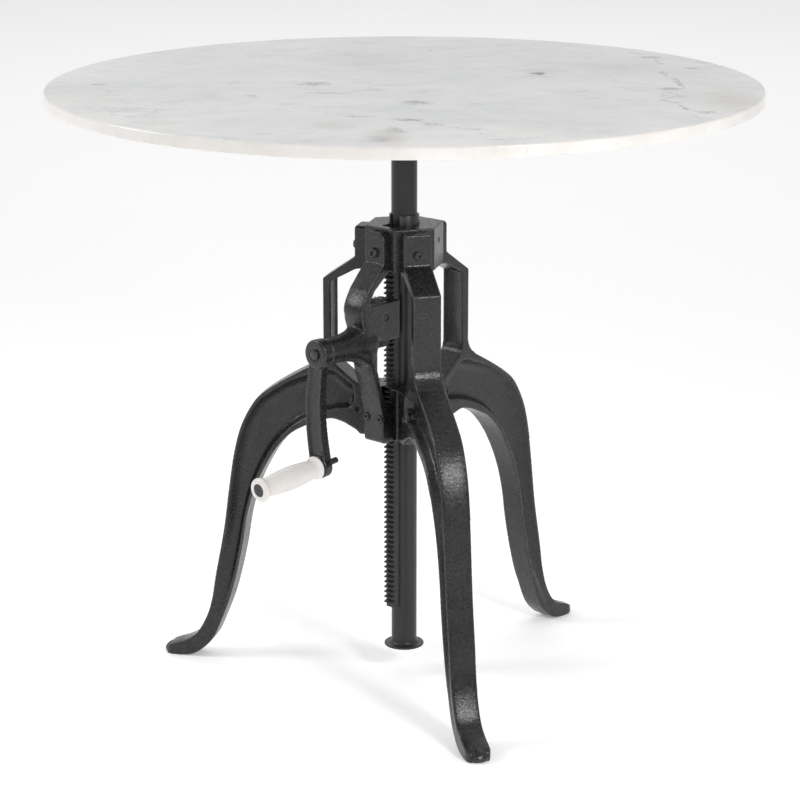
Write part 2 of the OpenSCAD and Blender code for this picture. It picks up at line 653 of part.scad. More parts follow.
// ---- Crank ----
// The arm lies in the XZ plane at the crank's inner face, hub at the origin
module arm_outline(inset) {
    n = 14;
    side = [for (i = [0 : n]) let (t = i / n) [-arm_bulge * sin(180 * t), -crank_throw * t,
        crank_neck_w / 2 + (crank_eye_d / 2 - 1 - crank_neck_w / 2) * t - inset]];
    polygon(concat([for (p = side) [p[0] - p[2], p[1]]],
        [for (i = [n : -1 : 0]) [side[i][0] + side[i][2], side[i][1]]]));
}
module at_eye() { translate([0, -crank_in_r, eye_z]) rotate([90 + handle_tilt, 0, 0]) children(); }
module crank_arm() {
    rim = 4;
    color(iron) difference() {
        union() {
            translate([0, -crank_in_r, crank_z]) rotate([90, 0, 0]) {
                cylinder(d = crank_hub_d, h = crank_hub_t);
                difference() {
                    linear_extrude(crank_t) arm_outline(0);
                    translate([0, 0, crank_t - arm_recess]) linear_extrude(arm_recess + 1)
                        difference() {
                            arm_outline(rim);
                            circle(d = crank_hub_d + 2 * rim);
                            translate([0, -crank_throw]) circle(d = crank_eye_d + rim);
                        }
                }
            }
            at_eye() cylinder(d = crank_eye_d, h = crank_t + 1);
        }
        along_y(-crank_in_r + 1, -crank_out_r - 1, shaft_d + 2 * seat_gap, crank_z);
        at_eye() translate([0, 0, -10]) cylinder(d = spindle_thread_d + 2 * seat_gap, h = 40);
        at_eye() translate([0, 0, -10]) cylinder(d = crank_eye_d, h = 10);
        translate([0, -crank_in_r - crank_hub_t / 2, crank_z]) rotate([0, 90, 0])
            cylinder(d = lock_pin_d + 2 * seat_gap, h = crank_hub_d + 2, center = true);
    }
}
module crank_lock_pin() {
    color(bright) translate([0, -crank_in_r - crank_hub_t / 2, crank_z]) rotate([0, 90, 0])
        cylinder(d = lock_pin_d, h = crank_hub_d + 1, center = true);
}
module handle_spindle() {
    color(steel) at_eye() {
        translate([0, 0, -thread_tail]) cylinder(d = spindle_thread_d, h = thread_tail + crank_t + 1);
        translate([0, 0, crank_t + 1]) cylinder(d = spindle_d, h = grip_l + 1 - spindle_head_t);
        translate([0, 0, grip_start + grip_l - spindle_head_t])
            cylinder(d = spindle_head_d, h = spindle_head_t - 1);
    }
}
module spindle_washer() {
    color(bright) at_eye() difference() {
        translate([0, 0, -washer_t]) cylinder(d = 2 * spindle_thread_d, h = washer_t);
        translate([0, 0, -washer_t - 1]) cylinder(d = spindle_thread_d + 2 * seat_gap, h = washer_t + 2);
    }
}
module spindle_nut() {
    color(bright) at_eye() difference() {
        translate([0, 0, -washer_t - nut_h])
            cylinder(d = 1.85 * spindle_thread_d, h = nut_h, $fn = facing_fn);
        translate([0, 0, -washer_t - nut_h - 1])
            cylinder(d = spindle_thread_d + 2 * seat_gap, h = nut_h + 2);
    }
}
module handle_grip() {
    collar_r = grip_d / 2;
    neck_r = grip_d / 2 - 3;
    color(marble) at_eye() translate([0, 0, grip_start]) difference() {
        rotate_extrude() polygon(concat([[0, 0]],
            arc(collar_r - 3, 3, 3, -90, 60, 5),
            [[neck_r, 10]],
            smooth([[neck_r, 11], [grip_d / 2 - 1.2, 0.3 * grip_l], [grip_d / 2 - 0.5, 0.45 * grip_l],
                [grip_d / 2 - 1.4, 0.65 * grip_l], [neck_r - 0.5, grip_l - 14]], 4),
            [[neck_r, grip_l - 10.5]],
            arc(collar_r - 4, grip_l - 4.5, 4, -50, 90, 6),
            [[0, grip_l - 0.5]]));
        translate([0, 0, -1]) cylinder(d = spindle_d + 2 * run_gap, h = grip_l + 2);
        translate([0, 0, grip_l - spindle_head_t - 0.3])
            cylinder(d = spindle_head_d + 2 * run_gap, h = spindle_head_t + 1);
    }
}

marble_top();
top_plate();
post_socket();
socket_screws();
top_inserts();
top_screws();
post_tube();
rack();
stop_flange();
head_casting();
upper_guide_bush();
guide_grub_screws();
lower_hub();
lower_guide_bush();
leg_left();
leg_right();
leg_rear();
head_bolts();
hub_bolts();
hub_cross_pins();
gear_bracket();
bracket_head_bolt();
bracket_foot_bolts();
inner_shaft_bush();
outer_shaft_bush();
thrust_washer();
pinion_pin();
pinion();
crank_shaft();
worm();
worm_pin();
crank_arm();
crank_lock_pin();
handle_spindle();
spindle_washer();
spindle_nut();
handle_grip();
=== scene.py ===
import math

import bmesh
import bpy
import numpy as np
from mathutils import Matrix, Vector, kdtree


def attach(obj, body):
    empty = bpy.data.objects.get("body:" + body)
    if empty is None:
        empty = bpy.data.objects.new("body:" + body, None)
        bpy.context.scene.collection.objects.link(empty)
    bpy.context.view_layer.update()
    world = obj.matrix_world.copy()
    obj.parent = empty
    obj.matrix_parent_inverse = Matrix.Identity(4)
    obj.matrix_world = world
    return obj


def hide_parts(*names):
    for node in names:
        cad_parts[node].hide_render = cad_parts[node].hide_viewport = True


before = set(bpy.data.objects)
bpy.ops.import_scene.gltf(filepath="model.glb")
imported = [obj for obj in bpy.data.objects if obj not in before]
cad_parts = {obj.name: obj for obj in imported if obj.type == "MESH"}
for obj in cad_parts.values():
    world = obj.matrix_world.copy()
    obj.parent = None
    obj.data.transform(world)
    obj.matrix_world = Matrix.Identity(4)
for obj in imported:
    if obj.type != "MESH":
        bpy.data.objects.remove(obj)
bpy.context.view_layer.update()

# ---- Marble top ----
# A round slab of white marble, 15 mm thick, sawn and turned, with a polished face
# and an eased, honed edge. Screws in glued inserts hold it to the steel plate.

MM = 0.001


def added(bm, part):
    """Add the mesh of part to bm."""
    mesh = bpy.data.meshes.new("part")
    part.to_mesh(mesh)
    part.free()
    bm.from_mesh(mesh)
    bpy.data.meshes.remove(mesh)


def turned(bm, profile, steps, place=Matrix()):
    """Turn a profile of (radius, height) points, in mm, about Z and put it in its place."""
    lathe = bmesh.new()
    points = [lathe.verts.new((r * MM, 0, z * MM)) for r, z in profile]
    lines = [lathe.edges.new(pair) for pair in zip(points, points[1:])]
    bmesh.ops.spin(lathe, geom=points + lines, cent=(0, 0, 0), axis=(0, 0, 1),
                   angle=2 * math.pi, steps=steps, use_merge=True)
    bmesh.ops.remove_doubles(lathe, verts=lathe.verts, dist=2e-6)
    bmesh.ops.transform(lathe, matrix=place, verts=lathe.verts)
    added(bm, lathe)


def closed(bm, corner_from):
    """Close the seams, turn all faces outwards and keep only true corners sharp."""
    bmesh.ops.remove_doubles(bm, verts=bm.verts, dist=2e-6)
    bmesh.ops.recalc_face_normals(bm, faces=bm.faces)
    for face in bm.faces:
        face.smooth = True
    for edge in bm.edges:
        edge.smooth = edge.is_manifold and edge.calc_face_angle() < math.radians(corner_from)


def loose(bm, name):
    """A mesh object made from bm, not yet a piece."""
    mesh = bpy.data.meshes.new(name)
    bm.to_mesh(mesh)
    bm.free()
    made = bpy.data.objects.new(name, mesh)
    bpy.context.scene.collection.objects.link(made)
    return made


def piece(bm, name, finish, body, slot, *nodes, corner_from=40):
    """A finished piece that rides on its body and stands for its CAD nodes."""
    closed(bm, corner_from)
    made = loose(bm, name)
    made.data.materials.append(finish)
    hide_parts(*nodes)
    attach(made, body)


def quarter(cx, cz, radius, start, stop, steps):
    """Points along an arc, in mm, from one angle to another in degrees."""
    turns = [math.radians(start + (stop - start) * i / steps) for i in range(steps + 1)]
    return [(cx + radius * math.cos(t), cz + radius * math.sin(t)) for t in turns]


def node(tree, kind, inputs=None, **settings):
    """A shader node with its settings, its constants and its links."""
    made = tree.nodes.new("ShaderNode" + kind)
    for key, value in settings.items():
        setattr(made, key, value)
    for key, value in (inputs or {}).items():
        if isinstance(value, bpy.types.NodeSocket):
            tree.links.new(value, made.inputs[key])
        else:
            made.inputs[key].default_value = value
    return made


def mixed(tree, factor, first, second, way="MIX"):
    """Two colours mixed by a factor."""
    made = node(tree, "Mix", {0: factor, 6: first, 7: second}, data_type="RGBA", blend_type=way)
    return made.outputs[2]


def ramp(tree, value, *stops):
    """A value turned into a grey by stops of (place, grey)."""
    made = node(tree, "ValToRGB", {"Fac": value})
    elements = made.color_ramp.elements
    while len(elements) < len(stops):
        elements.new(0.5)
    for element, (place, grey) in zip(elements, stops):
        element.position = place
        element.color = (grey, grey, grey, 1)
    return made.outputs["Color"]


def times(tree, first, second):
    """The product of two values."""
    return node(tree, "Math", {0: first, 1: second}, operation="MULTIPLY").outputs[0]


def new_finish(name):
    """A new material: its node tree, its shader and its object coordinates."""
    finish = bpy.data.materials.new(name)
    finish.use_nodes = True
    tree = finish.node_tree
    shader = tree.nodes["Principled BSDF"]
    return finish, tree, shader, node(tree, "TexCoord").outputs["Object"]


def noise(tree, place, scale, detail=4.0, rough=0.55, distortion=0.0):
    """Plain noise at a scale in cells per metre."""
    made = node(tree, "TexNoise", {"Vector": place, "Scale": scale, "Detail": detail,
                                   "Roughness": rough, "Distortion": distortion})
    return made.outputs["Fac"]


def crooked(tree, place, scale, detail, rough, reach):
    """Coordinates pushed about by noise, each by up to half the reach in metres."""
    push = node(tree, "TexNoise", {"Vector": place, "Scale": scale, "Detail": detail,
                                   "Roughness": rough}).outputs["Color"]
    push = node(tree, "VectorMath", {0: push, 1: (0.5, 0.5, 0.5)},
                operation="SUBTRACT").outputs["Vector"]
    push = node(tree, "VectorMath", {0: push, "Scale": reach}, operation="SCALE").outputs["Vector"]
    return node(tree, "VectorMath", {0: place, 1: push}).outputs["Vector"]


def bumped(tree, shader, *layers):
    """Bump from layers of (height, depth in metres), the coarsest first."""
    normal = None
    for height, depth in layers:
        inputs = {"Height": height, "Distance": depth, "Strength": 1.0}
        if normal:
            inputs["Normal"] = normal
        normal = node(tree, "Bump", inputs).outputs["Normal"]
    tree.links.new(normal, shader.inputs["Normal"])


TOP_RADIUS, TOP_FACE, TOP_UNDER = 457, 795, 780
EDGE_ROUND, UNDER_ROUND, EDGE_HONED = 2.2, 1.6, 2.5
# The streaks' direction, and the level that the marks are centred on
STREAK_TURN, MARK_LEVEL = math.radians(43.7), 790
# Marks in this slab: centre, half length and half width in mm, and strength
MARKS = [(59, 192, 12, 14, 1.2), (79, 174, 32, 20, 0.35), (74, 406, 19, 16, 0.6),
         (120, 378, 6, 10, 0.5), (176, 368, 15, 12, 0.6), (177, 313, 9, 15, 0.4),
         (252, 245, 7, 37, 0.6), (265, 208, 19, 9, 0.65), (312, 170, 13, 17, 0.4),
         (298, 156, 8, 37, 0.35), (338, 124, 10, 15, 0.4), (379, 96, 6, 11, 0.65),
         (412, 98, 13, 12, 0.5), (432, 54, 22, 9, 0.35), (126, 254, 32, 15, 0.28),
         (107, 304, 22, 10, 0.25), (12, 278, 44, 9, 0.28), (-192, 252, 6, 7, 0.45),
         (-139, 163, 29, 7, 0.25), (-221, 146, 44, 7, 0.25), (-88, -74, 24, 18, 0.6),
         (-21, -118, 32, 11, 0.42), (109, -94, 22, 24, 0.6), (-1, -61, 38, 11, 0.3),
         (129, -215, 30, 7, 0.45), (192, -191, 20, 9, 0.7), (233, -200, 17, 15, 0.45),
         (288, -191, 17, 11, 0.4), (360, -216, 38, 10, 0.3), (228, -256, 14, 27, 0.5),
         (263, -315, 17, 27, 0.42), (-282, -266, 13, 10, 0.65), (-328, -291, 14, 10, 0.3),
         (-74, -200, 14, 20, 0.42), (-170, -145, 17, 17, 0.28), (2, -210, 19, 16, 0.32),
         (-71, -248, 15, 11, 0.25), (243, 84, 17, 7, 0.4), (194, 115, 25, 12, 0.28),
         (138, -375, 23, 13, 0.32), (206, -381, 20, 11, 0.28), (133, 36, 25, 37, 0.16),
         (205, -4, 23, 20, 0.2), (177, 218, 25, 17, 0.22)]
# Thin crooked veins: their corners in mm, half their width, and strength
VEINS = [([(14, 429), (57, 417), (130, 368)], 2.2, 0.65),
         ([(161, 323), (203, 284), (241, 261), (273, 222), (260, 190), (314, 172), (307, 138),
           (345, 120), (382, 93)], 2.4, 0.8),
         ([(382, 93), (415, 98)], 2.2, 0.6), ([(400, 74), (446, 52)], 2.2, 0.5),
         ([(161, 372), (201, 361)], 2.5, 0.6),
         ([(188, -191), (238, -200), (290, -191), (343, -213), (380, -221), (419, -227)], 2, 0.5),
         ([(-193, -137), (-105, -185), (-28, -213), (22, -201), (80, -188)], 2, 0.42),
         ([(-58, -131), (-13, -116), (-7, -69), (8, -47)], 2.4, 0.6),
         ([(108, -233), (158, -203)], 2.2, 0.62), ([(176, -194), (210, -179)], 2.6, 0.8),
         ([(-113, -74), (-77, -64), (-59, -64)], 3, 0.7)]
# Brownish patches: centre, half length and half width in mm, and strength
STAINS = [(156, -288, 32, 27, 0.5), (254, -296, 25, 54, 0.7), (373, 192, 38, 86, 0.5),
          (-163, 116, 57, 27, 0.25), (-15, -416, 28, 20, 0.3), (52, 206, 36, 27, 0.4),
          (93, 321, 57, 32, 0.3), (292, -393, 38, 12, 0.4)]


def spots(tree, place, marks):
    """The strongest of oval marks, each (x, y, half long, half wide, turn, strength)."""
    total = 0.0
    for x, y, long, wide, turn, strength in marks:
        local = node(tree, "Mapping", {"Vector": place, "Rotation": (0, 0, turn),
                                       "Location": (x * MM, y * MM, MARK_LEVEL * MM),
                                       "Scale": (long * MM, wide * MM, 1.0)},
                     vector_type="TEXTURE").outputs["Vector"]
        away = node(tree, "VectorMath", {0: local}, operation="LENGTH").outputs["Value"]
        spot = node(tree, "MapRange", {"Value": away, "From Min": 1.5, "From Max": 0.1,
                                       "To Min": 0.0, "To Max": strength},
                    interpolation_type="SMOOTHSTEP").outputs["Result"]
        total = node(tree, "Math", {0: total, 1: spot}, operation="MAXIMUM").outputs[0]
    return total


def along_streaks(marks):
    """Marks that all lie along the streaks."""
    return [(x, y, long, wide, STREAK_TURN, strength) for x, y, long, wide, strength in marks]


def vein_marks(veins):
    """Veins as long thin oval marks from corner to corner."""
    marks = []
    for corners, wide, strength in veins:
        for (x0, y0), (x1, y1) in zip(corners, corners[1:]):
            long = math.hypot(x1 - x0, y1 - y0) * 0.45
            marks.append(((x0 + x1) / 2, (y0 + y1) / 2, long, wide,
                          math.atan2(y1 - y0, x1 - x0), strength))
    return marks


def marked(tree, colour, place, streaky, marks, stains, veins):
    """The slab's colour with its own brownish stains, dark marks and crooked veins."""
    shaky = crooked(tree, place, 34.0, 6.0, 0.7, 0.045)
    brown = spots(tree, shaky, along_streaks(stains))
    colour = mixed(tree, brown, colour, (0.47, 0.43, 0.385, 1))
    dark = spots(tree, shaky, along_streaks(marks))
    pushed = node(tree, "VectorMath", {0: shaky, 1: times(tree, dark, MM)}).outputs["Vector"]
    dark = node(tree, "Math", {0: dark, 1: spots(tree, pushed, vein_marks(veins))},
                operation="MAXIMUM").outputs[0]
    flecks = noise(tree, streaky, 75.0, 8.0, 0.85, 1.6)
    heavy = node(tree, "Math", {0: dark, 1: 0.34, 2: flecks},
                 operation="MULTIPLY_ADD").outputs[0]
    heavy = ramp(tree, heavy, (0.55, 0.0), (0.86, 1.0))
    near = node(tree, "Math", {0: dark, 1: 2.6}, operation="MULTIPLY", use_clamp=True).outputs[0]
    return mixed(tree, times(tree, heavy, near), colour, (0.085, 0.095, 0.14, 1))


def marble(name, cloud_scale, warm, honed_from, *own_marks):
    """White marble: grey clouds, fine wisps and veins, a warm blush, and any marks of its own.

    Beyond the radius honed_from, in mm, it is honed instead of polished, and so paler."""
    finish, tree, shader, place = new_finish(name)
    along = node(tree, "Mapping", {"Vector": place, "Rotation": (0, 0, -STREAK_TURN)},
                 vector_type="POINT").outputs["Vector"]
    bent = crooked(tree, along, cloud_scale * 1.6, 5.0, 0.5, 0.55 / cloud_scale)
    streaky = node(tree, "Mapping", {"Vector": bent, "Rotation": (0, 0, 0.22),
                                     "Scale": (0.8, 1.15, 1.0)}).outputs["Vector"]
    clouds = ramp(tree, noise(tree, streaky, cloud_scale, 6.0, 0.62), (0.40, 0.0), (0.72, 1.0))
    colour = mixed(tree, clouds, (0.725, 0.722, 0.712, 1), (0.585, 0.595, 0.605, 1))
    wisps = ramp(tree, noise(tree, streaky, cloud_scale * 4.2, 8.0, 0.72),
                 (0.50, 0.0), (0.74, 1.0))
    colour = mixed(tree, times(tree, wisps, 0.46), colour, (0.40, 0.43, 0.475, 1))
    ridge = node(tree, "Math", {0: noise(tree, streaky, cloud_scale * 1.5, 7.0, 0.6), 1: 0.5},
                 operation="SUBTRACT").outputs[0]
    ridge = node(tree, "Math", {0: ridge}, operation="ABSOLUTE").outputs[0]
    patchy = ramp(tree, noise(tree, along, cloud_scale * 1.1, 2.0), (0.50, 0.0), (0.66, 1.0))
    vein = times(tree, ramp(tree, ridge, (0.0, 1.0), (0.018, 0.0)), patchy)
    colour = mixed(tree, times(tree, vein, 0.38), colour, (0.25, 0.27, 0.31, 1))
    blush = ramp(tree, noise(tree, bent, cloud_scale * 0.9, 3.0), (0.53, 0.0), (0.72, 1.0))
    colour = mixed(tree, times(tree, blush, warm), colour, (0.62, 0.55, 0.50, 1))
    if own_marks:
        colour = marked(tree, colour, place, streaky, *own_marks)
    grain = ramp(tree, noise(tree, place, 260.0, 6.0, 0.8), (0.36, 0.0), (0.62, 1.0))
    colour = mixed(tree, times(tree, grain, 0.07), colour, (0.93, 0.93, 0.93, 1))
    flat = node(tree, "VectorMath", {0: place, 1: (1, 1, 0)},
                operation="MULTIPLY").outputs["Vector"]
    radius = node(tree, "VectorMath", {0: flat}, operation="LENGTH").outputs["Value"]
    honed = node(tree, "MapRange", {"Value": radius, "From Min": honed_from * MM,
                                    "From Max": (honed_from + 1.7) * MM, "To Max": 0.7})
    pink = ramp(tree, noise(tree, place, 9.0, 5.0, 0.6), (0.42, 0.0), (0.62, 1.0))
    pale = mixed(tree, pink, (0.83, 0.81, 0.785, 1), (0.75, 0.70, 0.65, 1))
    colour = mixed(tree, honed.outputs["Result"], colour, pale)
    tree.links.new(colour, shader.inputs["Base Color"])
    polish = node(tree, "MapRange", {"Value": noise(tree, place, 40.0, 5.0), "To Min": 0.16,
                                     "To Max": 0.30}).outputs["Result"]
    tree.links.new(polish, shader.inputs["Roughness"])
    shader.inputs["IOR"].default_value = 1.49
    bumped(tree, shader, (noise(tree, place, 30.0, 2.0), 0.00012),
           (noise(tree, place, 700.0, 4.0), 0.000012))
    return finish


polished = marble("polished_marble", 4.2, 0.20, TOP_RADIUS - EDGE_HONED, MARKS, STAINS, VEINS)
slab = bmesh.new()
turned(slab, [(0, TOP_UNDER), (TOP_RADIUS - 9, TOP_UNDER), (TOP_RADIUS - 4, TOP_UNDER)]
       + quarter(TOP_RADIUS - UNDER_ROUND, TOP_UNDER + UNDER_ROUND, UNDER_ROUND, -90, 0, 5)
       + quarter(TOP_RADIUS - EDGE_ROUND, TOP_FACE - EDGE_ROUND, EDGE_ROUND, 0, 90, 6)
       + [(TOP_RADIUS - 5, TOP_FACE), (TOP_RADIUS - 12, TOP_FACE), (0, TOP_FACE)], 256)
piece(slab, "marble_slab", polished, "post", "marble_white", "marble_top")

# ---- Black paint ----
# Every casting is grey iron, sand cast and sprayed satin black. The paint keeps
# the grain of the sand and lies thinner, and a little lighter, along the edges.


def black_paint(name, sand, gloss):
    """Satin black paint over cast iron, with sand grain of a given depth in metres."""
    finish, tree, shader, place = new_finish(name)
    blotch = noise(tree, place, 26.0, 5.0, 0.6)
    colour = mixed(tree, ramp(tree, blotch, (0.36, 0.0), (0.68, 1.0)),
                   (0.0065, 0.0065, 0.007, 1), (0.013, 0.013, 0.0145, 1))
    # Fine pale specks painted into the colour: painted glints that stand in for light sparkling on
    # the sand grain.
    painted_glints = ramp(tree, noise(tree, place, 560.0, 2.0, 0.7), (0.54, 0.0), (0.66, 1.0))
    colour = mixed(tree, times(tree, painted_glints, 0.5), colour, (0.07, 0.068, 0.066, 1))
    edge = ramp(tree, node(tree, "NewGeometry").outputs["Pointiness"], (0.51, 0.0), (0.58, 1.0))
    rubbed = times(tree, edge, noise(tree, place, 90.0, 4.0))
    colour = mixed(tree, rubbed, colour, (0.10, 0.097, 0.092, 1))
    tree.links.new(colour, shader.inputs["Base Color"])
    rough = node(tree, "MapRange", {"Value": noise(tree, place, 60.0, 5.0, 0.65),
                                    "To Min": gloss, "To Max": gloss + 0.16}).outputs["Result"]
    tree.links.new(rough, shader.inputs["Roughness"])
    bumped(tree, shader, (noise(tree, place, 42.0, 3.0), 0.0004),
           (noise(tree, place, 430.0, 1.5), sand),
           (noise(tree, place, 1000.0, 1.0), sand * 0.4))
    return finish


cast_black = black_paint("cast_iron_black_paint", 0.00038, 0.19)

# ---- Legs ----
# Three sand-cast legs from one pattern: a wide outer flange, a web hollowed from
# both sides, an upright that bolts to the head, and a turned-out toe.


def through(points, steps):
    """A smooth run of points through the given ones."""
    run = []
    last = len(points) - 1
    for i in range(last):
        p0, p1, p2, p3 = (Vector(points[min(max(i + k, 0), last)]) for k in (-1, 0, 1, 2))
        for k in range(steps):
            t = k / steps
            run.append(tuple(0.5 * (2 * p1 + (p2 - p0) * t
                                    + (2 * p0 - 5 * p1 + 4 * p2 - p3) * t * t
                                    + (3 * p1 - p0 - 3 * p2 + p3) * t ** 3)))
    return run + [tuple(points[-1])]


def plate(bm, outline, low, high, slices=1):
    """A flat plate: an outline of (x, z) points in mm, drawn across y from low to high."""
    face = bm.faces.new([bm.verts.new((x * MM, low * MM, z * MM)) for x, z in outline])
    for _ in range(slices):
        made = bmesh.ops.extrude_face_region(bm, geom=[face])["geom"]
        corners = [g for g in made if isinstance(g, bmesh.types.BMVert)]
        bmesh.ops.translate(bm, verts=corners, vec=(0, (high - low) / slices * MM, 0))
        face = next(g for g in made if isinstance(g, bmesh.types.BMFace))


def worked(made, *steps):
    """The mesh of a loose object after its modifiers, as a bmesh. The object is gone."""
    for kind, settings in steps:
        modifier = made.modifiers.new(kind, kind)
        for key, value in settings.items():
            setattr(modifier, key, value)
    mesh = bpy.data.meshes.new_from_object(
        made.evaluated_get(bpy.context.evaluated_depsgraph_get()))
    bm = bmesh.new()
    bm.from_mesh(mesh)
    bpy.data.meshes.remove(mesh)
    bpy.data.objects.remove(made)
    return bm


def fused(bm, grain, rounds):
    """One skin round overlapping shells, with the soft edges and fillets of a casting."""
    closed(bm, 180)
    skin = worked(loose(bm, "pattern"), ("REMESH", {"mode": "VOXEL", "voxel_size": grain * MM}))
    for _ in range(rounds):
        bmesh.ops.smooth_vert(skin, verts=skin.verts, factor=0.5,
                              use_axis_x=True, use_axis_y=True, use_axis_z=True)
    return skin


# The leg is full width above HUB_FOOT and narrows evenly to the toe
LEG_WIDTH, TOE_WIDTH, HUB_FOOT, TOE_END, TOE_ROUND = 37, 33, 332, 338, 16.2
PAD_TOP, PAD_ROUND = 612, 5
# The outer flange is lower at its edges, up to the shoulder
CROWN, SHOULDER = 1.3, 405
# The hollow's depth past the step of LIP at its mouth, how near to a side of the leg
# counts as on it, and the dish in the upright's back
HOLLOW, LIP, SIDE_NEAR, DISH, DISH_HALF = 11.5, 0.8, 0.8, 4, 15
# The mouths of the cross pins' holes
PIN_REACH, PIN_Z, PIN_R, PIN_SUNK = 58, 367, 3.2, 3.4
LEG_OUTER = [(119, 423.3), (150, 406), (178, 388.7), (199.6, 370.5), (219.4, 335.9), (231, 294.1),
             (239, 243.9), (247, 186.1), (259, 124.1), (266, 84), (275, 57), (288, 34.6),
             (303, 23.6), (320, 17.3), (333, 11.8), (338, 4.6)]
LEG_INNER = [(310, 0), (292, 3.8), (276, 15.2), (263, 30.8), (251, 57.8), (240, 86.9), (230, 122),
             (221, 162.9), (214, 205), (204, 241), (190.5, 272.2), (172, 303.8), (152, 326.2),
             (133, 338), (110, 348.2), (92, 351.5), (76, 347)]
# Mouth of the hollow along the outer flange, along the inner flange and at the hub
MOUTH_OUTER = [(70, 403), (79, 410), (89, 416.5), (99, 418.5), (109, 416.5), (119, 412.5),
               (149, 401), (176, 384.5), (196.5, 367.5), (215.8, 334.5), (227.6, 293.5),
               (235.5, 243.5), (243.3, 186), (255, 124.5), (262.5, 84), (272, 56), (286, 33)]
MOUTH_INNER = [(286, 33), (276, 26), (265, 41), (254.5, 64), (243.5, 89), (233.5, 123),
               (224.5, 164), (217, 206), (207.5, 243), (197, 270), (186, 292), (171, 315),
               (152, 335), (133, 348.5), (111, 359), (89, 365), (76, 367)]
MOUTH_HUB = [(76, 367), (69, 369), (65, 376), (64, 386), (65, 396), (70, 403)]


def rounded(vert, side, half, axis, end, radius):
    """Draw a square corner, half wide and with its end at end (mm), onto an arc."""
    across = abs(vert.co[side]) / MM - (half - radius)
    along = vert.co[axis] / MM - (end - radius)
    if across > 0 and along > 0:
        share = max(across, along) / math.hypot(across, along)
        vert.co[side] = math.copysign((half - radius + across * share) * MM, vert.co[side])
        vert.co[axis] = (end - radius + along * share) * MM


def leg_casting():
    """The leg's pattern, with its reach along +X."""
    bm = bmesh.new()
    outline = ([(46, 612), (62, 612), (62, 571), (105, 541)]
               + quarter(130, 447, 25, 180, 244, 8) + through(LEG_OUTER, 5) + [(335, 0)]
               + through(LEG_INNER, 5) + [(60, 338), (56, 333), (35, 333), (35, 402)]
               + through([(57, 402), (64, 406), (86, 424), (92, 431), (94, 440)], 4)
               + [(94, 537.2), (61, 555), (46, 557)])
    plate(bm, outline, -LEG_WIDTH / 2, LEG_WIDTH / 2, 4)
    slim = 1 - TOE_WIDTH / LEG_WIDTH
    for vert in bm.verts:
        vert.co.y *= 1 - slim * max(0, 1 - vert.co.z / (HUB_FOOT * MM))
    skin = fused(bm, grain=1.3, rounds=1)
    walls = []
    for run, cove in ((LEG_OUTER, 0), (MOUTH_OUTER, 17), (MOUTH_INNER, 7), (MOUTH_HUB, 5)):
        points = through(run, 24)
        wall = kdtree.KDTree(len(points))
        for i, (r, z) in enumerate(points):
            wall.insert((r, z, 0), i)
        wall.balance()
        walls.append((wall, cove))
    flange = walls.pop(0)[0]
    for vert in skin.verts:
        r, t, z = vert.co / MM
        if z < 40:
            rounded(vert, 1, TOE_WIDTH / 2 + 0.3, 0, TOE_END, TOE_ROUND)
        elif z > 590:
            rounded(vert, 1, LEG_WIDTH / 2, 2, PAD_TOP, PAD_ROUND)
        away = flange.find((r, z, 0))[2]
        if away < 5 and z < SHOULDER:
            sunk = CROWN * abs(t / (LEG_WIDTH / 2)) ** 3 * min((SHOULDER - z) / 60, 1)
            sunk *= min((5 - away) / 2.5, 1)
            vert.co -= Vector((vert.normal.x, 0, vert.normal.z)) * sunk * MM
        if 88 < r < 98 and 436 < z < 550 and abs(t) < DISH_HALF and vert.normal.x < -0.6:
            dish = (1 - (t / DISH_HALF) ** 2) ** 0.6 * min((z - 436) / 24, (550 - z) / 14, 1)
            vert.co.x += DISH * dish * MM
    mouth = np.array(through(MOUTH_OUTER, 6) + through(MOUTH_INNER, 6) + through(MOUTH_HUB, 6))
    near = np.roll(mouth, -1, axis=0)
    co = np.array([v.co for v in skin.verts]) / MM
    crosses = np.zeros(len(co), int)
    for (x0, z0), (x1, z1) in zip(mouth, near):
        if z0 != z1:
            between = (co[:, 2] > min(z0, z1)) & (co[:, 2] <= max(z0, z1))
            at = x0 + (co[:, 2] - z0) * (x1 - x0) / (z1 - z0)
            crosses += between & (co[:, 0] < at)
    half = LEG_WIDTH / 2 * (1 - slim * np.maximum(0, 1 - co[:, 2] / HUB_FOOT))
    on_side = np.abs(co[:, 1]) > half - SIDE_NEAR
    skin.verts.ensure_lookup_table()
    for i in np.nonzero(on_side & (crosses % 2 == 1))[0]:
        r, t, z = co[i]
        share = min(1 - (1 - min(wall.find((r, z, 0))[2] / cove, 1)) ** 2 for wall, cove in walls)
        fade = min(max((z - 30) / 190, 0), 1)
        depth = HOLLOW * share * fade * fade * (3 - 2 * fade) + LIP * share
        skin.verts[i].co.y -= math.copysign(depth, t) * MM
    for _ in range(2):
        bmesh.ops.smooth_vert(skin, verts=skin.verts, factor=0.4,
                              use_axis_x=True, use_axis_y=True, use_axis_z=True)
    at_pin = np.hypot(co[:, 0] - PIN_REACH, co[:, 2] - PIN_Z) < PIN_R
    for i in np.nonzero(on_side & at_pin)[0]:
        skin.verts[i].co.y -= math.copysign(PIN_SUNK, co[i][1]) * MM
    return skin


leg_pattern = leg_casting()
for leg_name, leg_angle in (("leg_rear", 90), ("leg_left", 210), ("leg_right", 330)):
    leg = leg_pattern.copy()
    bmesh.ops.rotate(leg, verts=leg.verts, cent=(0, 0, 0),
                     matrix=Matrix.Rotation(math.radians(leg_angle), 3, "Z"))
    piece(leg, leg_name + "_casting", cast_black, "root", "cast_iron_black", leg_name,
          corner_from=180)
leg_pattern.free()

# ---- Head and hub ----
# The hexagonal head has a thick top plate and a boss bored for the guide bush.
# The small hexagonal hub below ties the legs together. Both are castings.


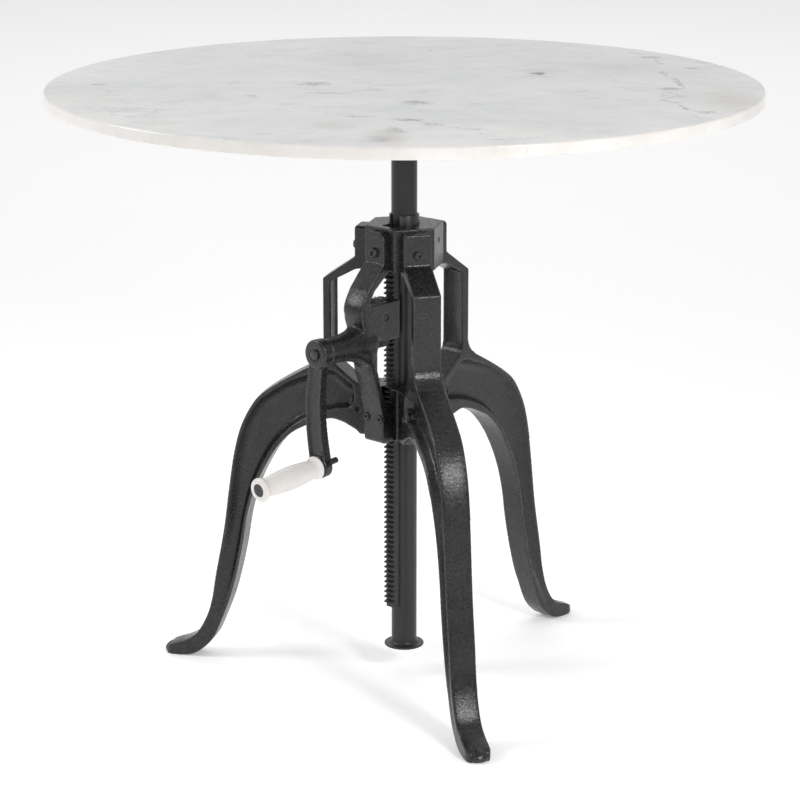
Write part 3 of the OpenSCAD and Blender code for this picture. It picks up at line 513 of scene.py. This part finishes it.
def pattern_of(*names):
    """The shape of CAD nodes, merged, for a casting or a machined piece."""
    bm = bmesh.new()
    for name in names:
        bm.from_mesh(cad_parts[name].data)
    bmesh.ops.remove_doubles(bm, verts=bm.verts, dist=2e-6)
    return bm


piece(fused(pattern_of("head_casting"), grain=1.1, rounds=3), "head_with_boss", cast_black, "root",
      "cast_iron_black", "head_casting", corner_from=180)
piece(fused(pattern_of("lower_hub"), grain=1.1, rounds=3), "hub_with_slot", cast_black, "root",
      "cast_iron_black", "lower_hub", corner_from=180)

# ---- Gear bracket ----
# A bowed strap, bolted to the head and to the hub, carries two cheeks for the
# pinion and a horn for the crank shaft. It is one casting with soft edges.

STRAP_WIDTH, STRAP_CROWN, STRAP_TOP_ROUND, SHAFT_Z = 34, 1.8, 10, 470
# The flare at the horn's root, as (radius, distance from the post), and its half width
FLARE, FLARE_HALF = [(9.6, 62), (42, 66), (35, 75), (29, 83), (24.4, 91), (21, 100), (18.8, 110),
                     (17.2, 122), (16.6, 134), (9.6, 134), (9.6, 62)], 16.2


def bracket_casting():
    """The bracket with a crowned strap, a round-topped pad and a soft root to the horn."""
    body, flare = pattern_of("gear_bracket"), bmesh.new()
    turned(flare, FLARE, 64, Matrix.Translation((0, 0, SHAFT_Z * MM))
           @ Matrix.Rotation(math.pi / 2, 4, "X"))
    for vert in flare.verts:
        vert.co.x = max(-FLARE_HALF * MM, min(FLARE_HALF * MM, vert.co.x))
    added(body, flare)
    skin = fused(body, grain=1.1, rounds=2)
    root = []
    for vert in skin.verts:
        x, y, z = vert.co / MM
        if z > 590 and y < -44:
            rounded(vert, 0, STRAP_WIDTH / 2, 2, PAD_TOP, STRAP_TOP_ROUND)
        clear = min(max((abs(z - SHAFT_Z) - 24) / 16, 0), 1)
        clear *= min(max((566 - z) / 30, 0), 1) * min(max((z - 372) / 30, 0), 1)
        if y < -48 and abs(x) < STRAP_WIDTH / 2 and vert.normal.y < -0.4:
            vert.co.y -= STRAP_CROWN * (1 - (2 * x / STRAP_WIDTH) ** 2) * clear * MM
        x, y, z = vert.co / MM
        if -125 < y < -58 and 430 < z < 512 and math.hypot(x, z - SHAFT_Z) > 14.5:
            root.append(vert)
    for _ in range(20):
        bmesh.ops.smooth_vert(skin, verts=root, factor=0.5,
                              use_axis_x=True, use_axis_y=True, use_axis_z=True)
    return skin


piece(bracket_casting(), "bowed_bracket", cast_black, "root", "cast_iron_black", "gear_bracket",
      corner_from=180)

# ---- Post ----
# A 33.7 mm steel tube with 3.2 mm walls, drawn, ground and blackened, so that it
# is smoother than the castings. It slides in the two guide bushes.


def blackened_steel(name, base, rough, streak):
    """Blackened steel with the fine lengthwise or ring marks of its making."""
    finish, tree, shader, place = new_finish(name)
    drawn = node(tree, "Mapping", {"Vector": place, "Scale": streak}).outputs["Vector"]
    marks = noise(tree, drawn, 60.0, 6.0, 0.7)
    stain = noise(tree, place, 18.0, 4.0, 0.6)
    colour = mixed(tree, ramp(tree, marks, (0.3, 0.0), (0.75, 1.0)),
                   tuple(c * 0.8 for c in base) + (1,), tuple(c * 1.35 for c in base) + (1,))
    colour = mixed(tree, times(tree, ramp(tree, stain, (0.5, 0.0), (0.7, 1.0)), 0.5),
                   colour, tuple(c * 1.7 for c in base) + (1,))
    tree.links.new(colour, shader.inputs["Base Color"])
    gloss = node(tree, "MapRange", {"Value": marks, "To Min": rough - 0.07,
                                    "To Max": rough + 0.09}).outputs["Result"]
    tree.links.new(gloss, shader.inputs["Roughness"])
    shader.inputs["Metallic"].default_value = 0.2
    bumped(tree, shader, (marks, 0.000025), (noise(tree, place, 900.0, 3.0), 0.00001))
    return finish


tube_black = blackened_steel("tube_black", (0.017, 0.0175, 0.0195), 0.32, (1.0, 1.0, 0.06))
TUBE_R, BORE_R, TUBE_LOW, TUBE_HIGH, TUBE_EASED = 16.85, 13.65, 38.5, 774, 0.6
tube = bmesh.new()
turned(tube, [(BORE_R, TUBE_HIGH), (BORE_R, TUBE_LOW), (TUBE_R - TUBE_EASED, TUBE_LOW),
              (TUBE_R, TUBE_LOW + TUBE_EASED), (TUBE_R, TUBE_HIGH), (BORE_R, TUBE_HIGH)], 96)
piece(tube, "post_pipe", tube_black, "post", "post_steel", "post_tube")

# ---- Rack and collar ----
# The rack is milled from bar, blackened, and welded along the pipe with its teeth
# towards the crank. The collar at the foot of the pipe stops it in the hub.


def eased(width, *names):
    """CAD nodes with their sharp edges broken by a small bevel, as a machinist does."""
    bm = pattern_of(*names)
    bmesh.ops.dissolve_limit(bm, angle_limit=math.radians(0.5), verts=bm.verts, edges=bm.edges)
    bm.normal_update()
    corners = [e for e in bm.edges if e.is_manifold and e.calc_face_angle() > math.radians(35)]
    bmesh.ops.bevel(bm, geom=corners, offset=width * MM, offset_type="OFFSET", segments=2,
                    profile=0.5, affect="EDGES", clamp_overlap=True, material=-1)
    return bm


rack_black = blackened_steel("rack_black", (0.022, 0.022, 0.024), 0.38, (1.0, 1.0, 1.0))
piece(eased(0.25, "rack"), "toothed_rack", rack_black, "post", "post_steel", "rack",
      corner_from=30)
SLEEVE_BORE, COLLAR_R, COLLAR_THICK, WELD = TUBE_R + 0.1, 26.3, 3, 5
collar = bmesh.new()
turned(collar, [(SLEEVE_BORE, TUBE_LOW), (25.8, TUBE_LOW), (COLLAR_R, TUBE_LOW + 0.5),
                (COLLAR_R, TUBE_LOW + 2.4), (25.7, TUBE_LOW + COLLAR_THICK),
                (22, TUBE_LOW + COLLAR_THICK)]
       + quarter(22, TUBE_LOW + COLLAR_THICK + WELD, WELD, -90, -180, 6)
       + [(SLEEVE_BORE, TUBE_LOW + 8.2), (SLEEVE_BORE, TUBE_LOW)], 96)
piece(collar, "stop_collar", rack_black, "post", "post_steel", "stop_flange")

# ---- Plate and socket under the top ----
# A round steel plate is screwed to the inserts in the stone, and a turned socket
# under it takes the pipe. Both are painted black, and seen only from below.

plate_black = black_paint("plate_black_paint", 0.00004, 0.34)
piece(eased(0.5, "top_plate"), "round_plate", plate_black, "post", "plate_black", "top_plate")
SOCKET_R, SOCKET_LOW, FLANGE_R = 28, 742, 33
socket = bmesh.new()
turned(socket, [(SLEEVE_BORE, SOCKET_LOW), (SOCKET_R - 2, SOCKET_LOW),
                (SOCKET_R, SOCKET_LOW + 2), (SOCKET_R, TUBE_HIGH - 5)]
       + quarter(FLANGE_R, TUBE_HIGH - 5, 5, 180, 90, 6)
       + [(FLANGE_R, TUBE_HIGH), (SLEEVE_BORE, TUBE_HIGH), (SLEEVE_BORE, SOCKET_LOW)], 96)
piece(socket, "pipe_socket", plate_black, "post", "plate_black", "post_socket")

# ---- Screws ----
# Blackened steel screws hold the legs and the bracket to the head and to the hub.
# Their heads are turned and domed, with a hexagon socket.

screw_black = blackened_steel("screw_black", (0.026, 0.026, 0.028), 0.30, (1.0, 1.0, 1.0))


def cap_screw(bm, place, head_d, head_h, shank_d, shank_l, key):
    """One screw with its head's seat at the place and its head along local +Z, in mm."""
    edge = 0.18 * head_d
    turned(bm, [(0, -shank_l), (shank_d / 2 - 0.5, -shank_l), (shank_d / 2, 0.5 - shank_l),
                (shank_d / 2, 0), (head_d / 2, 0), (head_d / 2, head_h - edge)]
           + quarter(head_d / 2 - edge, head_h - edge, edge, 0, 90, 5)
           + [(key * 0.62, head_h)], 36)
    rim = [e for e in bm.edges if e.is_boundary]
    hexagon = bmesh.ops.create_circle(bm, segments=6, radius=key * 0.577 * MM,
                                      matrix=Matrix.Translation((0, 0, head_h * MM)))["verts"]
    sides = list({e for v in hexagon for e in v.link_edges})
    bmesh.ops.bridge_loops(bm, edges=rim + sides)
    sunk = bmesh.ops.extrude_edge_only(bm, edges=sides)["geom"]
    floor_ring = [g for g in sunk if isinstance(g, bmesh.types.BMVert)]
    bmesh.ops.translate(bm, verts=floor_ring, vec=(0, 0, -0.6 * head_h * MM))
    bmesh.ops.contextual_create(bm, geom=[g for g in sunk if isinstance(g, bmesh.types.BMEdge)])
    bmesh.ops.transform(bm, matrix=place, verts=bm.verts)


def facing_out(angle, reach, aside, height):
    """A place on the casting's side, looking away from the post, in mm and degrees."""
    return (Matrix.Rotation(math.radians(angle), 4, "Z")
            @ Matrix.Translation((reach * MM, aside * MM, height * MM))
            @ Matrix.Rotation(math.pi / 2, 4, "Y"))


def screw_set(name, nodes, places, *sizes):
    """Screws of one size as one piece."""
    bm = bmesh.new()
    for place in places:
        one = bmesh.new()
        cap_screw(one, place, *sizes)
        added(bm, one)
    piece(bm, name, screw_black, "root", "fastener_black", nodes, corner_from=30)


LEG_ANGLES, CRANK_ANGLE = (90, 210, 330), 270
screw_set("leg_head_screws", "head_bolts",
          [facing_out(angle, 62, 0, 585) for angle in LEG_ANGLES], 11, 5.5, 8, 28, 5.5)
screw_set("leg_hub_screws", "hub_bolts",
          [facing_out(angle, 66, side * 12.5, 380) for angle in LEG_ANGLES for side in (-1, 1)],
          10, 3.5, 6, 42, 4)
screw_set("bracket_head_screw", "bracket_head_bolt", [facing_out(CRANK_ANGLE, 56, 0, 585)],
          13, 4.5, 8, 22, 6)
screw_set("bracket_foot_screws", "bracket_foot_bolts",
          [facing_out(CRANK_ANGLE, 57, side * 12, 366) for side in (-1, 1)], 10, 3.5, 6, 32, 4)

# ---- Crank ----
# A cast arm with raised rims, a round hub pinned to the shaft, and an eye for the
# handle. It bows a little to one side on its way down.

HUB_Y, EYE_Z, ARM_THICK, ARM_BOW, ARM_STEPS = -148, 322, 12, 9, 24
RIM_WIDTH, RIM_SLOPE, RIM_HIGH, HANDLE_DROOP = 2.8, 1.6, 3, 4.5
at_eye = (Matrix.Translation((0, HUB_Y * MM, EYE_Z * MM))
          @ Matrix.Rotation(math.radians(90 + HANDLE_DROOP), 4, "X"))
at_shaft = (Matrix.Translation((0, HUB_Y * MM, SHAFT_Z * MM))
            @ Matrix.Rotation(math.pi / 2, 4, "X"))


def crank_casting():
    """The arm, its hub and its eye, fused, with the shaft's and the spindle's holes."""
    run = []
    for i in range(ARM_STEPS + 1):
        t = i / ARM_STEPS
        run.append((-ARM_BOW * math.sin(math.pi * t), SHAFT_Z - (SHAFT_Z - EYE_Z) * t,
                    11.5 + 3 * t))
    arm = bmesh.new()
    plate(arm, [(x - w, z) for x, z, w in run] + [(x + w, z) for x, z, w in reversed(run)],
          HUB_Y, HUB_Y - ARM_THICK)
    bmesh.ops.recalc_face_normals(arm, faces=arm.faces)
    front = [f for f in arm.faces if f.calc_center_median().y < (HUB_Y - ARM_THICK + 0.1) * MM]
    bmesh.ops.inset_region(arm, faces=front, thickness=RIM_WIDTH * MM, use_even_offset=True)
    bmesh.ops.inset_region(arm, faces=front, thickness=RIM_SLOPE * MM, depth=-RIM_HIGH * MM,
                           use_even_offset=True)
    turned(arm, [(6.1, 0), (17.5, 0), (19, 1.5), (19, 13)] + quarter(16, 13, 3, 0, 90, 6)
           + [(9.5, 16), (8.7, 15.2), (6.1, 15.2), (6.1, 0)], 72, at_shaft)
    turned(arm, [(4.1, 0), (14.5, 0), (15.5, 1), (15.5, 11)] + quarter(13.5, 11, 2, 0, 90, 5)
           + [(4.1, 13), (4.1, 0)], 72, at_eye)
    return fused(arm, grain=0.8, rounds=3)


piece(crank_casting(), "crank_arm_casting", cast_black, "crank", "cast_iron_black", "crank_arm",
      corner_from=180)

# ---- Handle ----
# A marble grip, turned between centres, spins on a steel spindle that is screwed
# through the crank's eye. The spindle's flat head sits in the grip's end.

grip_marble = marble("grip_marble", 20.0, 0.34, 0)
GRIP_START = ARM_THICK + 2
grip = bmesh.new()
turned(grip, [(r, z + GRIP_START) for r, z in
              [(5.1, 0), (12.2, 0)] + quarter(12.5, 3, 3, -90, 62, 9) + [(12.9, 8.2), (12.5, 9.6)]
              + through([(12.4, 11), (13.3, 20), (14.5, 33), (15, 47), (14.6, 60), (13.4, 76),
                         (12.1, 90)], 6)
              + [(12.4, 93)] + quarter(11.5, 99.5, 4, -50, 90, 10)
              + [(9.2, 103.5), (8.6, 103), (8.6, 98.7), (5.1, 98.7), (5.1, 0)]], 96, at_eye)
piece(grip, "turned_grip", grip_marble, "grip", "grip_white", "handle_grip")
spindle = bmesh.new()
turned(spindle, [(0, -22), (3.2, -22), (4, -21.2), (4, 13), (5, 13), (5, 113), (8.4, 113),
                 (8.5, 113.2), (8.5, 116.3), (7.8, 117), (2, 117), (1.6, 116.4), (0, 116.2)],
       64, at_eye)
piece(spindle, "handle_rod", screw_black, "crank", "machined_steel", "handle_spindle")
piece(eased(0.4, "spindle_washer"), "rod_washer", screw_black, "crank", "machined_steel",
      "spindle_washer")
piece(eased(0.5, "spindle_nut"), "rod_nut", screw_black, "crank", "machined_steel", "spindle_nut")

# ---- Shaft, gears, bushes and pins ----
# The gears are cut from steel and oiled, and the shaft is painted with the crank.
# The bushes are brass and steel, and pins and grub screws lock the parts together.

machined = blackened_steel("oiled_steel", (0.10, 0.10, 0.105), 0.30, (1.0, 1.0, 1.0))
guide_steel = blackened_steel("guide_steel", (0.05, 0.05, 0.053), 0.32, (1.0, 1.0, 1.0))
brass = blackened_steel("bush_brass", (0.42, 0.29, 0.12), 0.34, (1.0, 1.0, 1.0))
# CAD node, width of its broken edges in mm, finish, body and slot
for name, width, finish, body, slot in (
        ("crank_shaft", 0.6, cast_black, "crank", "machined_steel"),
        ("worm", 0.0, machined, "crank", "machined_steel"),
        ("worm_pin", 0.3, machined, "crank", "machined_steel"),
        ("crank_lock_pin", 0.4, screw_black, "crank", "machined_steel"),
        ("pinion", 0.15, machined, "pinion", "machined_steel"),
        ("pinion_pin", 0.5, screw_black, "root", "machined_steel"),
        ("thrust_washer", 0.2, machined, "root", "machined_steel"),
        ("hub_cross_pins", 0.3, screw_black, "root", "fastener_black"),
        ("guide_grub_screws", 0.3, screw_black, "root", "fastener_black"),
        ("socket_screws", 0.3, screw_black, "post", "fastener_black"),
        ("top_screws", 0.3, screw_black, "post", "machined_steel"),
        ("top_inserts", 0.3, brass, "post", "bush_brass"),
        ("inner_shaft_bush", 0.4, brass, "root", "bush_brass"),
        ("outer_shaft_bush", 0.4, brass, "root", "bush_brass"),
        ("upper_guide_bush", 0.5, guide_steel, "root", "guide_steel"),
        ("lower_guide_bush", 0.5, guide_steel, "root", "guide_steel")):
    shape = eased(width, name) if width else pattern_of(name)
    piece(shape, name + "_made", finish, body, slot, name, corner_from=32)

# ---- Stage, light and camera ----
# A pale floor that runs into a pale room, soft lights above and at both sides,
# and a long lens from just above the height of the table.

CAMERA_TURN, CAMERA_DOWN, CAMERA_PLACE = math.radians(43.7), 15.31, (-0.0055, -3.458, 1.325)
CAMERA_SIDE = Matrix.Rotation(CAMERA_TURN, 3, "Z")
ROOM_SEEN, ROOM_BEHIND_CAMERA, ROOM_BEHIND_TABLE = 1.0, 0.12, 0.75
room = bpy.data.worlds.new("room")
room.use_nodes = True
tree = room.node_tree
seen = node(tree, "LightPath").outputs["Is Camera Ray"]
facing = node(tree, "VectorMath", {0: node(tree, "TexCoord").outputs["Generated"],
                                   1: CAMERA_SIDE @ Vector((0, 0.85, 0.53))},
              operation="DOT_PRODUCT").outputs["Value"]
around = node(tree, "MapRange", {"Value": facing, "From Min": -0.55, "From Max": 0.75,
                                 "To Min": ROOM_BEHIND_CAMERA, "To Max": ROOM_BEHIND_TABLE},
              interpolation_type="SMOOTHSTEP").outputs["Result"]
level = node(tree, "MapRange", {"Value": seen, "To Min": around, "To Max": ROOM_SEEN})
tree.links.new(level.outputs["Result"], tree.nodes["Background"].inputs["Strength"])
tree.nodes["Background"].inputs["Color"].default_value = (1, 1, 1, 1)
bpy.context.scene.world = room
bpy.context.scene.view_settings.view_transform = "Standard"

floor_finish, tree, shader, place = new_finish("studio_floor")
tree.links.new(mixed(tree, noise(tree, place, 3.0, 3.0), (0.93, 0.93, 0.93, 1),
                     (0.95, 0.95, 0.95, 1)), shader.inputs["Base Color"])
shader.inputs["Roughness"].default_value = 0.8
shader.inputs["Emission Color"].default_value = (1, 1, 1, 1)
shader.inputs["Emission Strength"].default_value = 0.22
floor = bmesh.new()
bmesh.ops.create_grid(floor, x_segments=8, y_segments=8, size=30)
floor = loose(floor, "studio_floor")
floor.data.materials.append(floor_finish)

# Name, watts, width, place and aim in metres, seen from the camera: right, away, up
for light_name, watts, width, spot, aim in (
        ("soft_top", 3, 2.4, (-0.2, 0.3, 3.2), (0, 0, 0.4)),
        ("soft_key", 27, 0.42, (1.27, -1.98, 1.45), (0, 0, 0.4)),
        ("soft_fill", 9, 1.0, (-1.2, -2.6, 1.4), (0, 0, 0.5)),
        ("soft_left", 21, 0.8, (-2.2, -0.1, 1.7), (0, 0, 0.4)),
        ("soft_back", 40, 4.0, (0, 4.5, 4.0), (0, 3.5, 0))):
    lamp = bpy.data.lights.new(light_name, "AREA")
    lamp.energy, lamp.size = watts, width
    holder = bpy.data.objects.new(light_name, lamp)
    holder.location = CAMERA_SIDE @ Vector(spot)
    holder.rotation_euler = (CAMERA_SIDE @ (Vector(spot) - Vector(aim))).to_track_quat(
        "Z", "Y").to_euler()
    bpy.context.scene.collection.objects.link(holder)

camera = bpy.data.cameras.new("camera")
camera.lens, camera.sensor_width = 122.7, 36
camera_holder = bpy.data.objects.new("camera", camera)
camera_holder.location = CAMERA_SIDE @ Vector(CAMERA_PLACE)
camera_holder.rotation_euler = (math.radians(90 - CAMERA_DOWN), 0, CAMERA_TURN)
bpy.context.scene.collection.objects.link(camera_holder)
bpy.context.scene.camera = camera_holder
